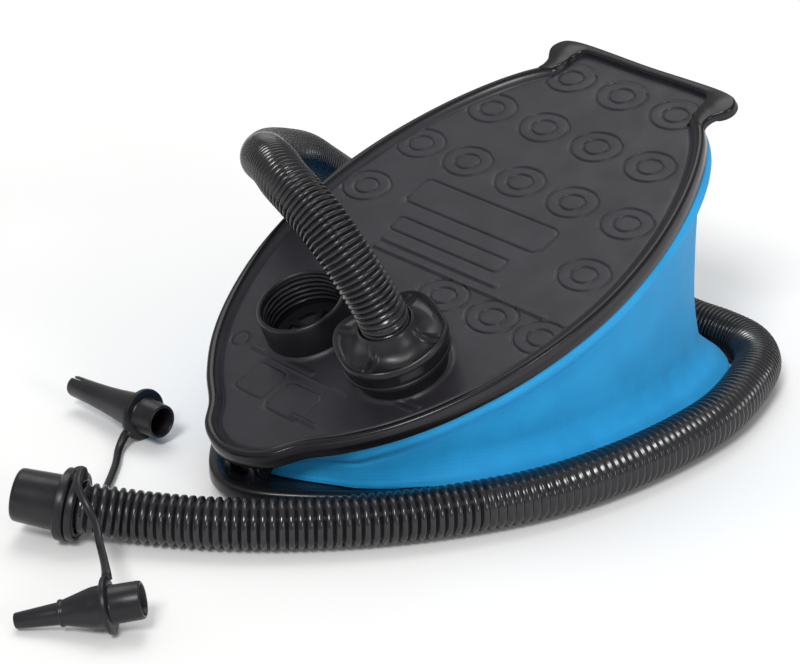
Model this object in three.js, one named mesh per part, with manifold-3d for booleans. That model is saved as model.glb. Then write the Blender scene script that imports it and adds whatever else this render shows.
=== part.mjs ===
// Foot air pump: a leaf-shaped treadle over a base tray, joined by a fabric bellows that is
// hinged at the nose, with a return spring, an intake port, an outlet port with a screw-on hose,
// and a hose that ends in a connector with two tethered nozzles.
// Millimetres. +X runs from the nose to the heel, +Z is up, and the floor is z = 0.
import * as THREE from "three";
import { mergeVertices } from "three/addons/utils/BufferGeometryUtils.js";
import Module from "manifold-3d";

const wasm = await Module();
wasm.setup();

// ---- driving dimensions ---------------------------------------------------------------------
const GAP = 0.3; // clearance between pieces that touch on the real pump

// Treadle: its own frame has p along the leaf, q across it and h square to the tread.
const PEDAL_TILT = 23.2; // degrees, at rest
const PEDAL_ORIGIN = [-111.2, 0, 35]; // where p = q = h = 0 lies
const PEDAL_HALF = [
  [-23, 0], [-20.5, 12.5], [-15, 22], [-5, 30.5], [7.5, 46], [26, 63], [50, 77.5], [84, 90],
  [125, 95.3], [163, 91.3], [198, 80.5], [225, 66.5], [240, 54.5], [248, 44], [251.5, 30], [252, 0],
];
const PANEL_THICK = 2.5;
const RIM_TOP = 2.8;
const RIM_BOTTOM = -6;
const HEEL_BAR = { middle: 256.5, reach: 58.3, width: 15, low: -2.4, top: 1.8 };
const HEEL_PANEL = { from: 238, to: 260.2, half: 43 }; // stays flat, inside the bar's ridge

// Base tray.
const BASE_HALF = [
  [-133, 0], [-131, 10], [-126, 19], [-117, 30], [-106, 41], [-92, 54], [-72, 68], [-45, 81],
  [-15, 90], [15, 93], [45, 91.5], [72, 87], [95, 80], [113, 71], [125, 58], [131.5, 40], [133.3, 0],
];
const BASE_RIM_TOP = 12.4;
const BASE_RIM_BOTTOM = 5.5;
const TRAY_FLOOR = 4;
const LOBE_FLOOR = 11; // the nose lobe ahead of the bellows
const OUTLINE_STEPS = 56;

// Hinge at the nose, ahead of the bellows: a pin through two ears and one lug.
const HINGE_P = -14;
const HINGE_H = -12;
const PIN_RADIUS = 2.4;
const CHEEK_RADIUS = 5;
const LUG_REACH = 5.5; // half the lug's width across Y
const EAR = { inner: 6.2, outer: 10 };
const NOSE_SETBACK = 12; // the bellows starts this much further in at the nose
const NOSE_FADE = 45; // length over which that setback fades out

// Ports through the treadle.
const INTAKE = [54.5, 24];
const OUTLET = [55.5, -36.5];
const PORT = { radius: 21, bore: 18.8, height: 17, flange: 25, under: 4.8 };
const THREAD = { pitch: 3.6, depth: 0.7, turns: 4 };
const FLAP_RADIUS = 15.2;
const FLAP_THICK = 1;

const NUT_LOBE = { share: 0.06, turn: THREE.MathUtils.degToRad(20) }; // four of them

// Return spring.
const SPRING = { radius: 25, wire: 1.8, turns: 7, foot: [40, 0], headP: 150 };
const SEAT = { radius: 31, thick: 2, spigot: 22.5, spigotHeight: 6 };

// Hose, connector and nozzles.
const HOSE_RADIUS = 11.3;
const HOSE_SIDES = 8;
const HOSE_END_H = 21.4; // height above the treadle where the hose starts inside its nut
const CONNECTOR_MOUTH = [-213.3, 41.8, 18.5];
const CONNECTOR_AXIS = new THREE.Vector3(0.56, -0.82, -0.1).normalize();
const CONNECTOR_LENGTH = 29.5;
const CONNECTOR_SOCKET = 23.2; // depth from the mouth at which the hose ends
const HOSE_ROUTE = [
  [-76.4, -33.8, 95.5], [-80, -28.6, 105.6], [-82.7, -21.2, 115.2], [-83.9, -10.6, 124.4],
  [-83.7, 3.9, 131.9], [-81.1, 17.6, 135.5], [-74.7, 31.5, 135.9], [-65.3, 48, 132],
  [-55.4, 61.5, 126.3], [-40.6, 79.7, 117.8], [-25.1, 97.8, 109.6], [-8.2, 114.8, 101.7],
  [17.3, 133.5, 89.7], [38.7, 144.3, 79], [56.5, 150, 66], [79.6, 153, 48], [102, 149, 30],
  [124, 137, 17], [141, 116, 11.6], [150, 92, 11.5], [151.5, 65, 11.5], [146.5, 6, 11.5],
  [145.4, -20.2, 11.5], [147, -39, 11.5], [145, -57, 11.5], [133.5, -73, 11.5],
  [109.5, -87, 11.5], [77.5, -99.2, 11.5], [45.5, -104.2, 11.5], [6.5, -105.1, 11.5],
  [-33.5, -100, 11.5], [-70.5, -87.2, 11.5], [-103.5, -70.3, 11.5], [-132, -50.4, 11.5],
  [-156.5, -28, 11.5], [-171, -11, 11.6], [-183, 4, 12.4],
];
const HOSE_SPLIT = 0.275; // share of the length that hangs on the treadle's side
const HOSE_STEPS = [21, 52];
const NOZZLE_SLOTTED = { flange: [-117.1, 77.9, 11.9], tip: [-120.4, 126.3, 10.5] };
const NOZZLE_STEPPED = { flange: [-236, -52.1, 11.9], tip: [-264.3, -24.5, 3.6] };

const SLOTTED_STRAP = [
  [-187.4, 27.6, 4.6], [-180, 32.5, 2.4], [-163.3, 46, 2.1], [-146, 61.5, 2.1], [-134, 74, 2.5],
  [-128.2, 77.2, 5.2],
];
const STEPPED_STRAP = [
  [-196.8, 17.8, 33], [-203.8, 10.6, 32.2], [-205.6, 4.5, 28.3], [-206.2, -1, 24],
  [-208, -7.5, 20.5], [-213, -16, 18.4], [-224, -34, 20], [-230.6, -44, 20.8],
];

// ---- materials ------------------------------------------------------------------------------
const finish = (color, roughness, metalness = 0) =>
  new THREE.MeshStandardMaterial({ color, roughness, metalness });
const blackPlastic = finish(0x2f2e33, 0.45);
const blackHose = finish(0x2b2b30, 0.35);
const blueFabric = finish(0x3696d0, 0.75);
const blackRubber = finish(0x1c1c1e, 0.8);
const whitePlastic = finish(0xd8d8d4, 0.5);
const springSteel = finish(0xa9abb0, 0.3, 1);

// ---- geometry helpers -----------------------------------------------------------------------
// Keeps positions only, joins shared vertices and turns the faces outward.
function closed(geometry) {
  let bare = geometry.index ? geometry : mergeVertices(geometry);
  bare.deleteAttribute("normal");
  bare.deleteAttribute("uv");
  bare = mergeVertices(bare, 1e-3);
  const { array } = bare.attributes.position;
  const index = [];
  const corner = [new THREE.Vector3(), new THREE.Vector3(), new THREE.Vector3()];
  let volume = 0;
  for (let i = 0; i < bare.index.count; i += 3) {
    const ids = [0, 1, 2].map((k) => bare.index.getX(i + k));
    if (ids[0] === ids[1] || ids[1] === ids[2] || ids[2] === ids[0]) continue;
    ids.forEach((id, k) => corner[k].fromArray(array, 3 * id));
    volume += corner[0].dot(corner[1].cross(corner[2]));
    index.push(ids);
  }
  const out = volume < 0 ? index.map(([a, b, c]) => [a, c, b]) : index;
  bare.setIndex(out.flat());
  return bare;
}

function toManifold(geometry) {
  const bare = closed(geometry);
  const vertProperties = new Float32Array(bare.attributes.position.array);
  const triVerts = new Uint32Array(bare.index.array);
  return new wasm.Manifold(new wasm.Mesh({ numProp: 3, vertProperties, triVerts }));
}

function fromManifold(manifold) {
  const mesh = manifold.getMesh();
  const geometry = new THREE.BufferGeometry();
  geometry.setAttribute("position", new THREE.BufferAttribute(mesh.vertProperties, 3));
  geometry.setIndex(new THREE.BufferAttribute(mesh.triVerts, 1));
  return geometry;
}

// One body made from a start piece, the pieces joined to it and the pieces cut from it.
function combine(start, joined = [], cut = []) {
  let result = toManifold(start);
  for (const piece of joined) result = result.add(toManifold(piece));
  for (const piece of cut) result = result.subtract(toManifold(piece));
  return fromManifold(result);
}

// Turns a list of [radius, height] round the Z axis.
function turned(profile, segments = 32) {
  const points = profile.map(([r, z]) => new THREE.Vector2(r, z));
  return closed(new THREE.LatheGeometry(points, segments).rotateX(Math.PI / 2));
}

function ringProfile(inner, outer, low, high) {
  return [[inner, low], [outer, low], [outer, high], [inner, high], [inner, low]];
}

function disc(radius, low, high, segments = 32) {
  return turned([[0, low], [radius, low], [radius, high], [0, high]], segments);
}

// A stretch of a longer curve, between two shares of its length.
class Stretch extends THREE.Curve {
  constructor(whole, from, to) {
    super();
    Object.assign(this, { whole, from, to });
  }

  getPoint(t, target) {
    return this.whole.getPointAt(this.from + (this.to - this.from) * t, target);
  }
}

const throughPoints = (points) => new THREE.CatmullRomCurve3(points, false, "centripetal");

function tube(extrudePath, radius, steps, sides) {
  const section = new THREE.Shape();
  for (let i = 0; i < sides; i += 1) {
    const angle = (2 * Math.PI * i) / sides;
    const place = [radius * Math.cos(angle), radius * Math.sin(angle)];
    if (i === 0) section.moveTo(...place);
    else section.lineTo(...place);
  }
  return closed(new THREE.ExtrudeGeometry(section, { steps, bevelEnabled: false, extrudePath }));
}

// Closed outline through half of its points and their mirror image, as evenly spaced points
// that each carry the direction into the shape.
function outline(half) {
  const inner = half.slice(1, -1);
  const corners = [
    ...half.map(([x, y]) => new THREE.Vector3(x, y, 0)),
    ...inner.reverse().map(([x, y]) => new THREE.Vector3(x, -y, 0)),
  ];
  const curve = new THREE.CatmullRomCurve3(corners, true, "centripetal");
  const places = curve.getSpacedPoints(OUTLINE_STEPS).slice(0, OUTLINE_STEPS);
  return places.map((at, i) => {
    const next = places[(i + 1) % OUTLINE_STEPS];
    const last = places[(i + OUTLINE_STEPS - 1) % OUTLINE_STEPS];
    const along = next.clone().sub(last).normalize();
    return { at, inward: new THREE.Vector3(along.y, -along.x, 0) };
  });
}

// A ring of the outline moved inward and lifted; the setback moves it further in at the nose.
function ringOf(line, inset, height, setback = 0) {
  const tip = line[0].at.x;
  return line.map(({ at, inward }) => {
    const share = Math.max(0, 1 - (at.x - tip) / NOSE_FADE);
    const place = at.clone().addScaledVector(inward, inset + setback * share);
    return place.setZ(height);
  });
}

// Triangles that fill a level ring, wound the way the ring itself runs.
function capFaces(ring) {
  const flat = ring.map((v) => new THREE.Vector2(v.x, v.y));
  const runs = Math.sign(THREE.ShapeUtils.area(flat));
  return THREE.ShapeUtils.triangulateShape(flat, []).map((face) => {
    const wound = Math.sign(THREE.ShapeUtils.area(face.map((i) => flat[i])));
    return wound === runs ? face : [face[2], face[1], face[0]];
  });
}

// Skin over rings of equal length: capped at both ends, or joined from the last to the first.
function loft(rings, joinEnds = false) {
  const count = rings[0].length;
  const positions = rings.flat().flatMap((v) => v.toArray());
  const index = [];
  const bands = joinEnds ? rings.length : rings.length - 1;
  for (let band = 0; band < bands; band += 1) {
    const low = band * count;
    const high = ((band + 1) % rings.length) * count;
    for (let i = 0; i < count; i += 1) {
      const next = (i + 1) % count;
      index.push(low + i, low + next, high + i, low + next, high + next, high + i);
    }
  }
  if (!joinEnds) {
    const lastRing = (rings.length - 1) * count;
    for (const [a, b, c] of capFaces(rings[0])) index.push(c, b, a);
    for (const [a, b, c] of capFaces(rings.at(-1))) {
      index.push(lastRing + a, lastRing + b, lastRing + c);
    }
  }
  const geometry = new THREE.BufferGeometry();
  geometry.setAttribute("position", new THREE.Float32BufferAttribute(positions, 3));
  geometry.setIndex(index);
  return closed(geometry);
}

// ---- the assembly and its frames ------------------------------------------------------------
const pump = new THREE.Group();
const pedal = new THREE.Group();
const tilt = THREE.MathUtils.degToRad(PEDAL_TILT);
pedal.position.fromArray(PEDAL_ORIGIN);
pedal.rotation.y = -tilt;
pump.add(pedal);
pedal.updateMatrixWorld(true);

function portFrame([p, q]) {
  const frame = new THREE.Group();
  frame.position.set(p, q, 0);
  pedal.add(frame);
  return frame;
}
const intake = portFrame(INTAKE);
const outlet = portFrame(OUTLET);

function add(parent, name, geometry, material) {
  const mesh = new THREE.Mesh(geometry, material);
  mesh.name = name;
  parent.add(mesh);
}

const pedalLine = outline(PEDAL_HALF);
const baseLine = outline(BASE_HALF);
const inRow = (p, q, h) => new THREE.Vector3(p, q, h).applyMatrix4(pedal.matrixWorld);
const hinge = inRow(HINGE_P, 0, HINGE_H);

// ---- hinge pieces ---------------------------------------------------------------------------
// A cheek across Y: round at its eye on the origin, with a leg that reaches down.
function cheek(from, to, reach) {
  const shape = new THREE.Shape();
  shape.absarc(0, 0, CHEEK_RADIUS, 0, Math.PI, false);
  shape.lineTo(-CHEEK_RADIUS, -reach);
  shape.lineTo(CHEEK_RADIUS, -reach);
  const options = { depth: to - from, bevelEnabled: false, curveSegments: 10 };
  return new THREE.ExtrudeGeometry(shape, options).rotateX(Math.PI / 2).translate(0, to, 0);
}

function pinBore() {
  return disc(PIN_RADIUS + GAP, -25, 25, 20).rotateX(Math.PI / 2);
}

function hingePin() {
  const shank = EAR.outer + GAP;
  const head = shank + 2;
  const profile = [[0, -head], [4, -head], [4, -shank], [PIN_RADIUS, -shank]];
  profile.push([PIN_RADIUS, shank], [4, shank], [4, head], [0, head]);
  const pin = turned(profile, 20).rotateX(Math.PI / 2);
  return pin.translate(hinge.x, 0, hinge.z);
}

// ---- treadle --------------------------------------------------------------------------------
function pedalPlate() {
  const rings = [
    [9, -PANEL_THICK], [4, -PANEL_THICK], [3, RIM_BOTTOM], [0.8, RIM_BOTTOM], [0, -5], [0, 0],
    [0.8, 1.9], [2.9, RIM_TOP], [5, 1.9], [6.5, 0],
  ].map(([inset, height]) => ringOf(pedalLine, inset, height));
  const bar = new THREE.Shape();
  const half = HEEL_BAR.width / 2;
  const straight = HEEL_BAR.reach - half;
  bar.absarc(HEEL_BAR.middle, straight, half, 0, Math.PI, false);
  bar.absarc(HEEL_BAR.middle, -straight, half, Math.PI, 2 * Math.PI, false);
  const barOptions = { depth: HEEL_BAR.top - HEEL_BAR.low, bevelEnabled: false, curveSegments: 6 };
  const heelBar = new THREE.ExtrudeGeometry(bar, barOptions).translate(0, 0, HEEL_BAR.low);
  const { from, to, half: panelHalf } = HEEL_PANEL;
  const recess = new THREE.BoxGeometry(to - from, 2 * panelHalf, 10);
  recess.translate((from + to) / 2, 0, 5);
  const lug = cheek(-LUG_REACH, LUG_REACH, -HINGE_H - 1).rotateX(Math.PI);
  lug.translate(HINGE_P, 0, HINGE_H);
  const bore = pinBore().translate(HINGE_P, 0, HINGE_H);
  const holes = [INTAKE, OUTLET].map(([p, q]) =>
    disc(PORT.radius + GAP, -20, 20).translate(p, q, 0));
  return combine(loft(rings), [heelBar, lug], [...holes, bore, recess]);
}

function topClampRing() {
  const rings = [[7.2, -2.9], [7.2, -8.5], [9.4, -8.5], [9.4, -2.9]];
  return loft(rings.map(([inset, height]) => ringOf(pedalLine, inset, height, NOSE_SETBACK)), true);
}

// ---- ports and valves -----------------------------------------------------------------------
function portSocket() {
  const { radius, bore, height, flange, under } = PORT;
  const profile = [[radius, -2.9], [radius, height - 1], [radius - 0.7, height]];
  profile.push([bore + 0.7, height], [bore, height - 0.8]);
  for (let turn = 0; turn < THREAD.turns; turn += 1) {
    const top = height - 1.5 - turn * THREAD.pitch;
    profile.push([bore, top], [bore - THREAD.depth, top - 0.8], [bore, top - 1.6]);
  }
  profile.push([bore, -3.6], [16, -3.6], [16, -under], [flange, -under], [flange, -2.9]);
  profile.push([radius, -2.9]);
  return turned(profile, 24);
}

// A disc with six windows round a hub, which the flap closes.
function valveSeat() {
  const windows = 6;
  const wheel = disc(18.4, -3.3, -1.6, 24);
  const cuts = [];
  for (let i = 0; i < windows; i += 1) {
    const middle = (2 * Math.PI * i) / windows;
    const half = Math.PI / windows - 0.14;
    const window = new THREE.Shape();
    window.absarc(0, 0, 13, middle - half, middle + half, false);
    window.absarc(0, 0, 5.5, middle + half, middle - half, true);
    window.closePath();
    const options = { depth: 4, bevelEnabled: false, curveSegments: 3 };
    cuts.push(new THREE.ExtrudeGeometry(window, options).translate(0, 0, -4.5));
  }
  return combine(wheel, [], cuts);
}

function addPort(frame, label, flapLow) {
  add(frame, `${label}_socket`, portSocket(), blackPlastic);
  add(frame, `${label}_valve_seat`, valveSeat(), blackPlastic);
  add(frame, `${label}_valve_flap`, disc(FLAP_RADIUS, flapLow, flapLow + FLAP_THICK, 24), blackRubber);
}

// ---- hose nut and what it clamps ------------------------------------------------------------
function hoseNut() {
  const profile = [
    [24.5, 9], [24.5, 17.2], [25.6, 18.2], [25.6, 19.8], [23.6, 20.8], [13.9, 25.4], [13.7, 28.4],
    [11.7, 28.4], [11.7, 21], [15.4, 21], [15.4, 6], [17.7, 6], [17.7, 18.8], [22.6, 18.8],
    [22.6, 9], [24.5, 9],
  ];
  const nut = turned(profile, 36);
  const { position } = nut.attributes;
  for (let i = 0; i < position.count; i += 1) {
    const [x, y, z] = [position.getX(i), position.getY(i), position.getZ(i)];
    const radius = Math.hypot(x, y);
    const wave = Math.cos(4 * (Math.atan2(y, x) - NUT_LOBE.turn));
    const lobe = radius > 25 && z > 18 ? 1 + (NUT_LOBE.share * (1 + wave)) / 2 : 1;
    position.setXY(i, x * lobe, y * lobe);
  }
  return nut;
}

// ---- base -----------------------------------------------------------------------------------
function baseTray() {
  const shell = [
    [8.5, 0], [7, 1], [6.6, 4.9], [0.8, BASE_RIM_BOTTOM], [0, 6.5], [0, 10.4], [1.4, 12],
    [3.4, BASE_RIM_TOP], [5.4, 12], [6.6, 11.4],
  ].map(([inset, height]) => ringOf(baseLine, inset, height));
  const well = [[8, LOBE_FLOOR], [8.2, 5], [9, TRAY_FLOOR]]
    .map(([inset, height]) => ringOf(baseLine, inset, height, NOSE_SETBACK));
  const reach = hinge.z - LOBE_FLOOR + 1;
  const places = [[EAR.inner, EAR.outer], [-EAR.outer, -EAR.inner]];
  const ears = places.map(([from, to]) => cheek(from, to, reach).translate(hinge.x, 0, hinge.z));
  return combine(loft([...shell, ...well]), ears, [pinBore().translate(hinge.x, 0, hinge.z)]);
}

function baseClampRing() {
  const rings = [[11, 4.6], [11, 13], [13, 13], [13, 4.6]];
  return loft(rings.map(([inset, height]) => ringOf(baseLine, inset, height, NOSE_SETBACK)), true);
}

// ---- return spring --------------------------------------------------------------------------
function springSeat() {
  const { radius, thick, spigot, spigotHeight } = SEAT;
  return turned([[0, 0], [radius, 0], [radius, thick], [spigot, thick],
    [spigot - 1, spigotHeight], [0, spigotHeight]], 24);
}

// The coil's axis leaves the lower seat straight up and meets the upper seat square on.
function returnSpring() {
  const clear = SEAT.thick + SPRING.wire + GAP;
  const foot = new THREE.Vector3(...SPRING.foot, TRAY_FLOOR + GAP + clear);
  const head = inRow(SPRING.headP, 0, -PANEL_THICK - GAP - clear);
  const rise = foot.distanceTo(head) / 3;
  const normal = new THREE.Vector3(-Math.sin(tilt), 0, Math.cos(tilt));
  const axis = new THREE.CubicBezierCurve3(
    foot,
    foot.clone().add(new THREE.Vector3(0, 0, rise)),
    head.clone().addScaledVector(normal, -rise),
    head,
  );
  const perTurn = 12;
  const steps = SPRING.turns * perTurn;
  const points = [];
  for (let i = 0; i <= steps; i += 1) {
    const t = i / steps;
    const ahead = axis.getTangentAt(t);
    const side = new THREE.Vector3(ahead.z, 0, -ahead.x);
    const angle = (2 * Math.PI * i) / perTurn;
    points.push(axis.getPointAt(t)
      .addScaledVector(side, SPRING.radius * Math.cos(angle))
      .addScaledVector(new THREE.Vector3(0, 1, 0), SPRING.radius * Math.sin(angle)));
  }
  return tube(throughPoints(points), SPRING.wire, steps, 5);
}

// ---- bellows --------------------------------------------------------------------------------
// The sleeve follows straight lines from base to treadle, moved out or in by a share of the
// local height: a flared foot, a drawn-in waist and a rolled hem under the treadle.
const BELLOWS_SHAPE = [
  [0, 0], [0.06, -0.5], [0.16, -3], [0.34, -4.5], [0.56, -3], [0.78, 1], [0.9, 6], [0.96, 6.5],
  [1, 2],
];

function bellows() {
  const foot = ringOf(baseLine, 8.7, 16.2, NOSE_SETBACK);
  const top = ringOf(pedalLine, 4.3, RIM_BOTTOM - 0.8, NOSE_SETBACK);
  top.forEach((v) => v.applyMatrix4(pedal.matrixWorld));
  const tallest = top.reduce((most, v, i) => Math.max(most, v.z - foot[i].z), 0);
  const wall = (skin) => BELLOWS_SHAPE.map(([share, bulge]) =>
    foot.map((low, i) => {
      const high = top[i];
      const size = (high.z - low.z) / tallest;
      const out = baseLine[i].inward.clone().multiplyScalar(-(bulge * size + skin));
      return low.clone().lerp(high, share).add(out);
    }));
  const tuck = ringOf(baseLine, 8.7, 5.4, NOSE_SETBACK);
  const tuckIn = ringOf(baseLine, 10.4, 5.4, NOSE_SETBACK);
  return loft([tuckIn, tuck, ...wall(0), ...wall(-1.7).reverse()], true);
}

// ---- hose end pieces ------------------------------------------------------------------------
// Places a piece turned round Z so that its axis runs from one point towards another.
function along(geometry, from, direction) {
  const turn = new THREE.Quaternion().setFromUnitVectors(new THREE.Vector3(0, 0, 1), direction);
  return geometry.applyQuaternion(turn).translate(from.x, from.y, from.z);
}

function connector() {
  const profile = [
    [9.6, 0], [11.2, 0], [11.7, 0.8], [12.3, 20.3], [16, 20.5], [16, 25.1], [13.3, 25.3],
    [13.3, CONNECTOR_LENGTH], [12.2, CONNECTOR_LENGTH], [12.2, 22.8], [9.6, 22.8], [9.6, 0],
  ];
  return along(turned(profile, 24), new THREE.Vector3(...CONNECTOR_MOUTH), CONNECTOR_AXIS);
}

function tetherRing() {
  const ring = turned(ringProfile(13.7, 15.4, 25.6, 29.3), 24);
  return along(ring, new THREE.Vector3(...CONNECTOR_MOUTH), CONNECTOR_AXIS);
}

function strap(points) {
  return tube(throughPoints(points.map((place) => new THREE.Vector3(...place))), 1.7, 12, 6);
}

// Lays a nozzle body, made along Z, on the line from its flange to its tip.
function laid(body, { flange, tip }) {
  const from = new THREE.Vector3(...flange);
  const direction = new THREE.Vector3(...tip).sub(from).normalize();
  return along(body, from, direction);
}

// Profiles run along the nozzle from its flange: minus is the spigot, plus is the tip.
const SLOTTED_PROFILE = [
  [6.4, -13], [7.9, -13], [7.9, -1.5], [11.6, -1.2], [11.6, 1.2], [9, 1.6], [8.2, 8], [6.2, 22],
  [4.9, 48.3], [3.6, 48.3], [4.6, 22], [6.4, 8], [6.4, -13],
];
const STEPPED_PROFILE = [
  [6.4, -14.5], [7.9, -14.5], [7.9, -1.5], [11.6, -1.2], [11.6, 1.2], [8.6, 1.6], [8.2, 7],
  [5.2, 18.5], [5.4, 20.5], [4.8, 20.6], [3.3, 39.5], [2.1, 39.5], [3.4, 20.5], [6.4, 7],
  [6.4, -14.5],
];

function slottedNozzle() {
  const slot = new THREE.BoxGeometry(1.8, 14, 9).translate(0, 0, 46.3);
  return laid(combine(turned(SLOTTED_PROFILE, 20), [], [slot]), NOZZLE_SLOTTED);
}

function steppedNozzle() {
  return laid(turned(STEPPED_PROFILE, 20), NOZZLE_STEPPED);
}

// ---- putting it together --------------------------------------------------------------------
add(pump, "base_tray", baseTray(), blackPlastic);
add(pump, "base_clamp_ring", baseClampRing(), blackPlastic);
add(pump, "hinge_pin", hingePin(), springSteel);
add(pump, "bellows", bellows(), blueFabric);

const lowerSeat = springSeat().translate(...SPRING.foot, TRAY_FLOOR + GAP);
add(pump, "lower_spring_seat", lowerSeat, whitePlastic);
add(pump, "return_spring", returnSpring(), springSteel);
const upperSeat = springSeat().rotateX(Math.PI).translate(SPRING.headP, 0, -PANEL_THICK - GAP);
add(pedal, "upper_spring_seat", upperSeat, whitePlastic);

add(pedal, "treadle", pedalPlate(), blackPlastic);
add(pedal, "treadle_clamp_ring", topClampRing(), blackPlastic);
addPort(intake, "intake", -4.7);
addPort(outlet, "outlet", -1.2);

add(outlet, "hose_nut", hoseNut(), blackPlastic);
add(outlet, "nut_gasket", turned(ringProfile(18.2, 22.1, 17.3, 18.5), 24), blackRubber);
add(outlet, "hose_end_ring", turned(ringProfile(11.9, 15.1, 17.6, 20.7), 24), blackPlastic);

const mouth = new THREE.Vector3(...CONNECTOR_MOUTH);
const hose = throughPoints([
  ...[HOSE_END_H, 27, 33].map((h) => inRow(...OUTLET, h)),
  ...HOSE_ROUTE.map((place) => new THREE.Vector3(...place)),
  ...[CONNECTOR_LENGTH + 1, CONNECTOR_SOCKET].map((depth) =>
    mouth.clone().addScaledVector(CONNECTOR_AXIS, depth)),
]);
hose.arcLengthDivisions = 2000;
const hoseGap = GAP / hose.getLength();
const upperHose = new Stretch(hose, 0, HOSE_SPLIT);
const lowerHose = new Stretch(hose, HOSE_SPLIT + hoseGap, 1);
add(pump, "hose_upper", tube(upperHose, HOSE_RADIUS, HOSE_STEPS[0], HOSE_SIDES), blackHose);
add(pump, "hose_lower", tube(lowerHose, HOSE_RADIUS, HOSE_STEPS[1], HOSE_SIDES), blackHose);

add(pump, "hose_connector", connector(), blackPlastic);
add(pump, "tether_ring", tetherRing(), blackPlastic);
add(pump, "slotted_nozzle", slottedNozzle(), blackPlastic);
add(pump, "stepped_nozzle", steppedNozzle(), blackPlastic);
add(pump, "slotted_nozzle_strap", strap(SLOTTED_STRAP), blackPlastic);
add(pump, "stepped_nozzle_strap", strap(STEPPED_STRAP), blackPlastic);

export default pump;
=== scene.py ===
import math

import bmesh
import bpy
import numpy as np
from mathutils import Matrix, Vector, geometry


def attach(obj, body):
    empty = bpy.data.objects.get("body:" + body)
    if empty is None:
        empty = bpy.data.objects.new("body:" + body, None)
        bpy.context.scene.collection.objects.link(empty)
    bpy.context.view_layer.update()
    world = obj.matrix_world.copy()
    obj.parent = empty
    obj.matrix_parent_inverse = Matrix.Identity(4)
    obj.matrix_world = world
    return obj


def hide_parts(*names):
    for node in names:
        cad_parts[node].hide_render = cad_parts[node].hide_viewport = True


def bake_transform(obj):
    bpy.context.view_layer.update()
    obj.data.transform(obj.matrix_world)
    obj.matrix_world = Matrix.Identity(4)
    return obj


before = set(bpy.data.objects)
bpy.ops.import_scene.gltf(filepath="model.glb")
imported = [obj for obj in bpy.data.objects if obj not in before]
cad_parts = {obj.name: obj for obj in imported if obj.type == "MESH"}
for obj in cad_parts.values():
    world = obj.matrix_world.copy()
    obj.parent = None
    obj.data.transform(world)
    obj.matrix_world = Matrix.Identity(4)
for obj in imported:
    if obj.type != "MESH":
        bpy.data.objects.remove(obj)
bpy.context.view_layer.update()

MM = 0.001

# ---- driving dimensions ----
# The treadle's own frame: p along the leaf, q across it, h square to the tread.
PEDAL_TILT = math.radians(23.2)
PEDAL_ORIGIN = Vector((-111.2, 0, 35))
PEDAL_HALF = [
    (-23, 0), (-20.5, 12.5), (-15, 22), (-5, 30.5), (7.5, 46), (26, 63), (50, 77.5), (84, 90),
    (125, 95.3), (163, 91.3), (198, 80.5), (225, 66.5), (240, 54.5), (248, 44), (251.5, 30),
    (252, 0),
]
BASE_HALF = [
    (-133, 0), (-131, 10), (-126, 19), (-117, 30), (-106, 41), (-92, 54), (-72, 68), (-45, 81),
    (-15, 90), (15, 93), (45, 91.5), (72, 87), (95, 80), (113, 71), (125, 58), (131.5, 40),
    (133.3, 0),
]
OUTLINE_STEPS = 360
NOSE_SETBACK = 12  # the bellows starts this much further in at the nose
NOSE_FADE = 34  # length over which the setback fades
RIM_BOTTOM = -6
PANEL_THICK = 2.5
HEEL_BAR = {"middle": 256.5, "reach": 58.3, "width": 15}

INTAKE = (54.5, 24)
OUTLET = (55.5, -36.5)
PORTS = (INTAKE, OUTLET)
PORT_RADIUS = 21
PORT_BORE = 18.8

HOSE_DIAMETER = 0.0226
HOSE_SIDES = 36
RIB_STEPS = 6
RIB_PITCH = (0.00255, 0.0039)  # drawn together as far as the heel, stretched along the floor
RIB_VALLEY = (0.0014, 0.0019)
RIB_CHANGE = (0.60, 0.67)  # length along the hose over which the one becomes the other
HOSE_START_H = (21.4, 27, 33)  # over the tread, on the outlet's axis
CONNECTOR_MOUTH = Vector((-0.2133, 0.0418, 0.0185))
CONNECTOR_AXIS = Vector((0.56, -0.82, -0.1)).normalized()
CONNECTOR_SOCKET = (0.0305, 0.0232)  # the hose's last two points, in from the mouth
HOSE_ROUTE = [
    (-0.0764, -0.0338, 0.0955), (-0.08, -0.0286, 0.1056), (-0.0827, -0.0212, 0.1152),
    (-0.0839, -0.0106, 0.1244), (-0.0837, 0.0039, 0.1319), (-0.0811, 0.0176, 0.1355),
    (-0.0747, 0.0315, 0.1359), (-0.0653, 0.048, 0.132), (-0.0554, 0.0615, 0.1263),
    (-0.0406, 0.0797, 0.1178), (-0.0251, 0.0978, 0.1096), (-0.0082, 0.1148, 0.1017),
    (0.0173, 0.1335, 0.0897), (0.0387, 0.1443, 0.079), (0.0565, 0.15, 0.066),
    (0.0796, 0.153, 0.048), (0.102, 0.149, 0.03), (0.124, 0.137, 0.017), (0.141, 0.116, 0.0116),
    (0.15, 0.092, 0.0115), (0.1515, 0.065, 0.0115), (0.1465, 0.006, 0.0115),
    (0.1454, -0.0202, 0.0115), (0.147, -0.039, 0.0115), (0.145, -0.057, 0.0115),
    (0.1335, -0.073, 0.0115), (0.1095, -0.087, 0.0115), (0.0775, -0.0992, 0.0115),
    (0.0455, -0.1042, 0.0115), (0.0065, -0.1051, 0.0115), (-0.0335, -0.1, 0.0115),
    (-0.0705, -0.0872, 0.0115), (-0.1035, -0.0703, 0.0115), (-0.132, -0.0504, 0.0115),
    (-0.1565, -0.028, 0.0115), (-0.171, -0.011, 0.0116), (-0.183, 0.004, 0.0124),
]
NOZZLE_SLOTTED = ((-117.1, 77.9, 11.9), (-120.4, 126.3, 10.5))
NOZZLE_STEPPED = ((-236, -52.1, 11.9), (-264.3, -24.5, 3.6))
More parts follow.
